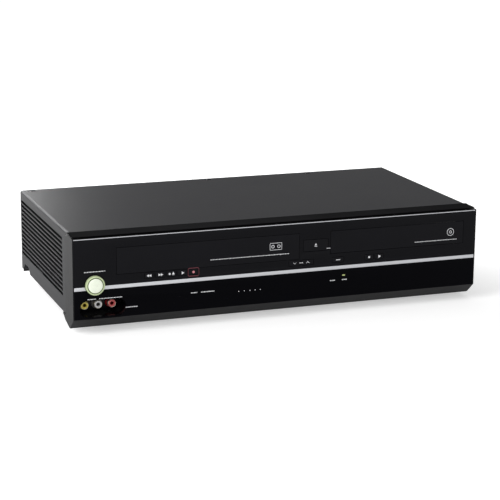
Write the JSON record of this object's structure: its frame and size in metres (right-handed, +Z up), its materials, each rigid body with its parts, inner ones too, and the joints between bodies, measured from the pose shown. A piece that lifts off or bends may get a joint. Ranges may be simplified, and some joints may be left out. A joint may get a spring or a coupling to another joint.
{
  "type": "disc and cassette player",
  "caption": "Low wide player with a louvred steel cover, glossy front, hinged cassette flap, sliding disc tray, flush keys, a round lit power button and a front socket recess.",
  "frame": {"origin": "middle of the bounding box on the plane under the feet", "axes": "+X along the width, to the right seen from the front; front towards -Y; +Z up"},
  "size_m": [0.435, 0.238, 0.0995],
  "materials": {
    "cover_black": "satin black coating",
    "screw_black": "black oxide",
    "zinc_steel": "zinc plated",
    "rear_black": "black coating",
    "bezel_matte": "fine matte",
    "panel_gloss": "high gloss",
    "key_gloss": "high gloss",
    "silver": "satin silver",
    "button_lit": "lit from behind",
    "foot_rubber": "matte",
    "bright_steel": "ground",
    "board_brown": "paper board",
    "board_green": "green lacquer",
    "jack_plastic": "moulded",
    "black_plastic": "moulded",
    "grey_plastic": "moulded",
    "motor_dark": "dark",
    "white_plastic": "moulded"
  },
  "bodies": {
    "housing": {"top_cover": "cover_black", "cover_screw_left": "screw_black", "cover_screw_middle": "screw_black", "cover_screw_right": "screw_black", "chassis_base": "zinc_steel", "deck_plate": "zinc_steel", "clamp_bridge": "zinc_steel", "tuner_block": "zinc_steel", "rear_panel": "rear_black", "front_bezel": "bezel_matte", "front_panel": "panel_gloss", "silver_trim_strip": "silver", "silver_line_strip": "silver", "foot_front_left": "foot_rubber", "foot_front_right": "foot_rubber", "foot_rear_left": "foot_rubber", "foot_rear_right": "foot_rubber", "cord_gland": "foot_rubber", "cassette_flap_spring": "bright_steel", "lower_drum": "bright_steel", "tray_motor": "bright_steel", "front_key_board": "board_brown", "power_supply_board": "board_brown", "main_board": "board_green", "front_jack_block": "jack_plastic", "loader_frame": "black_plastic", "rear_jack_block": "black_plastic"},
    "flap": {"cassette_flap": "panel_gloss"},
    "tray": {"dvd_tray": "black_plastic", "tray_front": "panel_gloss"},
    "tray_gear": {"tray_gear": "white_plastic"},
    "traverse": {"traverse_plate": "zinc_steel", "sled_guide_rod_left": "bright_steel", "sled_guide_rod_right": "bright_steel"},
    "turntable": {"turntable": "motor_dark"},
    "sled": {"pickup_sled": "grey_plastic"},
    "clamper": {"disc_clamper": "grey_plastic"},
    "upper_drum": {"upper_drum": "bright_steel"},
    "supply_reel": {"supply_reel": "black_plastic"},
    "take_up_reel": {"take_up_reel": "black_plastic"},
    "capstan": {"capstan_flywheel": "bright_steel"},
    "pinch_arm": {"pinch_arm": "bright_steel"},
    "pinch_roller": {"pinch_roller": "foot_rubber"},
    "guide_left": {"guide_arm_left": "bright_steel"},
    "guide_right": {"guide_arm_right": "bright_steel"},
    "cam": {"cam_gear": "white_plastic"},
    "slider": {"carriage_slider": "white_plastic"},
    "carriage": {"cassette_carriage": "zinc_steel"},
    "power_button": {"power_button": "button_lit"},
    "rewind_key": {"rewind_key": "key_gloss"},
    "fast_forward_key": {"fast_forward_key": "key_gloss"},
    "stop_eject_key": {"stop_eject_key": "key_gloss"},
    "play_key": {"play_key": "key_gloss"},
    "record_key": {"record_key": "key_gloss"},
    "open_close_key": {"open_close_key": "key_gloss"},
    "channel_down_key": {"channel_down_key": "key_gloss"},
    "channel_up_key": {"channel_up_key": "key_gloss"},
    "source_key": {"source_key": "key_gloss"},
    "dvd_stop_key": {"dvd_stop_key": "key_gloss"},
    "dvd_play_key": {"dvd_play_key": "key_gloss"}
  },
  "joints": [
    {"name": "flap_swing", "type": "hinge", "parent": "housing", "child": "flap", "pos_m": [0, -0.11, 0.0905], "axis": [1, 0, 0], "range_deg": [0, 88], "stiffness_Nm_per_rad": 0.02},
    {"name": "tray_slide", "type": "slide", "parent": "housing", "child": "tray", "axis": [0, -1, 0], "range_m": [0, 0.132]},
    {"name": "tray_gear_turn", "type": "hinge", "parent": "housing", "child": "tray_gear", "pos_m": [0.17835, -0.086, 0.06], "axis": [0, 0, 1], "range_deg": [-860, 0]},
    {"name": "traverse_tilt", "type": "hinge", "parent": "housing", "child": "traverse", "pos_m": [0.12765, 0.0362, 0.057], "axis": [1, 0, 0], "range_deg": [0, 6]},
    {"name": "turntable_spin", "type": "hinge", "parent": "traverse", "child": "turntable", "pos_m": [0.12765, -0.0418, 0.07], "axis": [0, 0, 1], "continuous": true},
    {"name": "sled_slide", "type": "slide", "parent": "traverse", "child": "sled", "axis": [0, 1, 0], "range_m": [0, 0.034]},
    {"name": "clamper_spin", "type": "hinge", "parent": "housing", "child": "clamper", "pos_m": [0.12765, -0.0418, 0.08], "axis": [0, 0, 1], "continuous": true},
    {"name": "upper_drum_spin", "type": "hinge", "parent": "housing", "child": "upper_drum", "pos_m": [-0.0778, 0.062, 0.0435], "axis": [0, -0.0958, 0.9954], "continuous": true},
    {"name": "supply_reel_spin", "type": "hinge", "parent": "housing", "child": "supply_reel", "pos_m": [-0.124, -0.03, 0.04], "axis": [0, 0, 1], "continuous": true},
    {"name": "take_up_reel_spin", "type": "hinge", "parent": "housing", "child": "take_up_reel", "pos_m": [-0.0316, -0.03, 0.04], "axis": [0, 0, 1], "continuous": true},
    {"name": "capstan_spin", "type": "hinge", "parent": "housing", "child": "capstan", "pos_m": [-0.022, 0.03, 0.04], "axis": [0, 0, 1], "continuous": true},
    {"name": "pinch_swing", "type": "hinge", "parent": "housing", "child": "pinch_arm", "pos_m": [0, 0.042, 0.04], "axis": [0, 0, 1], "range_deg": [-30, 0]},
    {"name": "pinch_roller_spin", "type": "hinge", "parent": "pinch_arm", "child": "pinch_roller", "pos_m": [-0.00872, 0.02713, 0.045], "axis": [0, 0, 1], "continuous": true},
    {"name": "guide_left_swing", "type": "hinge", "parent": "housing", "child": "guide_left", "pos_m": [-0.0778, 0.062, 0.036], "axis": [0, 0, 1], "range_deg": [-70, 0]},
    {"name": "guide_right_swing", "type": "hinge", "parent": "housing", "child": "guide_right", "pos_m": [-0.0778, 0.062, 0.036], "axis": [0, 0, 1], "range_deg": [0, 70]},
    {"name": "cam_turn", "type": "hinge", "parent": "housing", "child": "cam", "pos_m": [-0.152, 0.072, 0.04], "axis": [0, 0, 1], "range_deg": [0, 280]},
    {"name": "slider_slide", "type": "slide", "parent": "housing", "child": "slider", "axis": [0, 1, 0], "range_m": [0, 0.03]},
    {"name": "carriage_lift", "type": "slide", "parent": "slider", "child": "carriage", "axis": [0, 0, -1], "range_m": [0, 0.022]},
    {"name": "power_press", "type": "slide", "parent": "housing", "child": "power_button", "axis": [0, 1, 0], "range_m": [0, 0.001], "stiffness_N_per_m": 300},
    {"name": "rewind_press", "type": "slide", "parent": "housing", "child": "rewind_key", "axis": [0, 1, 0], "range_m": [0, 0.001], "stiffness_N_per_m": 250},
    {"name": "fast_forward_press", "type": "slide", "parent": "housing", "child": "fast_forward_key", "axis": [0, 1, 0], "range_m": [0, 0.001], "stiffness_N_per_m": 250},
    {"name": "stop_eject_press", "type": "slide", "parent": "housing", "child": "stop_eject_key", "axis": [0, 1, 0], "range_m": [0, 0.001], "stiffness_N_per_m": 250},
    {"name": "play_press", "type": "slide", "parent": "housing", "child": "play_key", "axis": [0, 1, 0], "range_m": [0, 0.001], "stiffness_N_per_m": 250},
    {"name": "record_press", "type": "slide", "parent": "housing", "child": "record_key", "axis": [0, 1, 0], "range_m": [0, 0.001], "stiffness_N_per_m": 250},
    {"name": "open_close_press", "type": "slide", "parent": "housing", "child": "open_close_key", "axis": [0, 1, 0], "range_m": [0, 0.001], "stiffness_N_per_m": 250},
    {"name": "channel_down_press", "type": "slide", "parent": "housing", "child": "channel_down_key", "axis": [0, 1, 0], "range_m": [0, 0.001], "stiffness_N_per_m": 250},
    {"name": "channel_up_press", "type": "slide", "parent": "housing", "child": "channel_up_key", "axis": [0, 1, 0], "range_m": [0, 0.001], "stiffness_N_per_m": 250},
    {"name": "source_press", "type": "slide", "parent": "housing", "child": "source_key", "axis": [0, 1, 0], "range_m": [0, 0.001], "stiffness_N_per_m": 250},
    {"name": "dvd_stop_press", "type": "slide", "parent": "housing", "child": "dvd_stop_key", "axis": [0, 1, 0], "range_m": [0, 0.001], "stiffness_N_per_m": 250},
    {"name": "dvd_play_press", "type": "slide", "parent": "housing", "child": "dvd_play_key", "axis": [0, 1, 0], "range_m": [0, 0.001], "stiffness_N_per_m": 250}
  ],
  "couplings": [
    {"joint": "tray_gear_turn", "follows": "tray_slide", "rad_per_m": -111.11},
    {"joint": "clamper_spin", "follows": "turntable_spin", "ratio": 1},
    {"joint": "guide_right_swing", "follows": "guide_left_swing", "ratio": -1},
    {"joint": "cam_turn", "follows": "guide_left_swing", "ratio": -4}
  ]
}
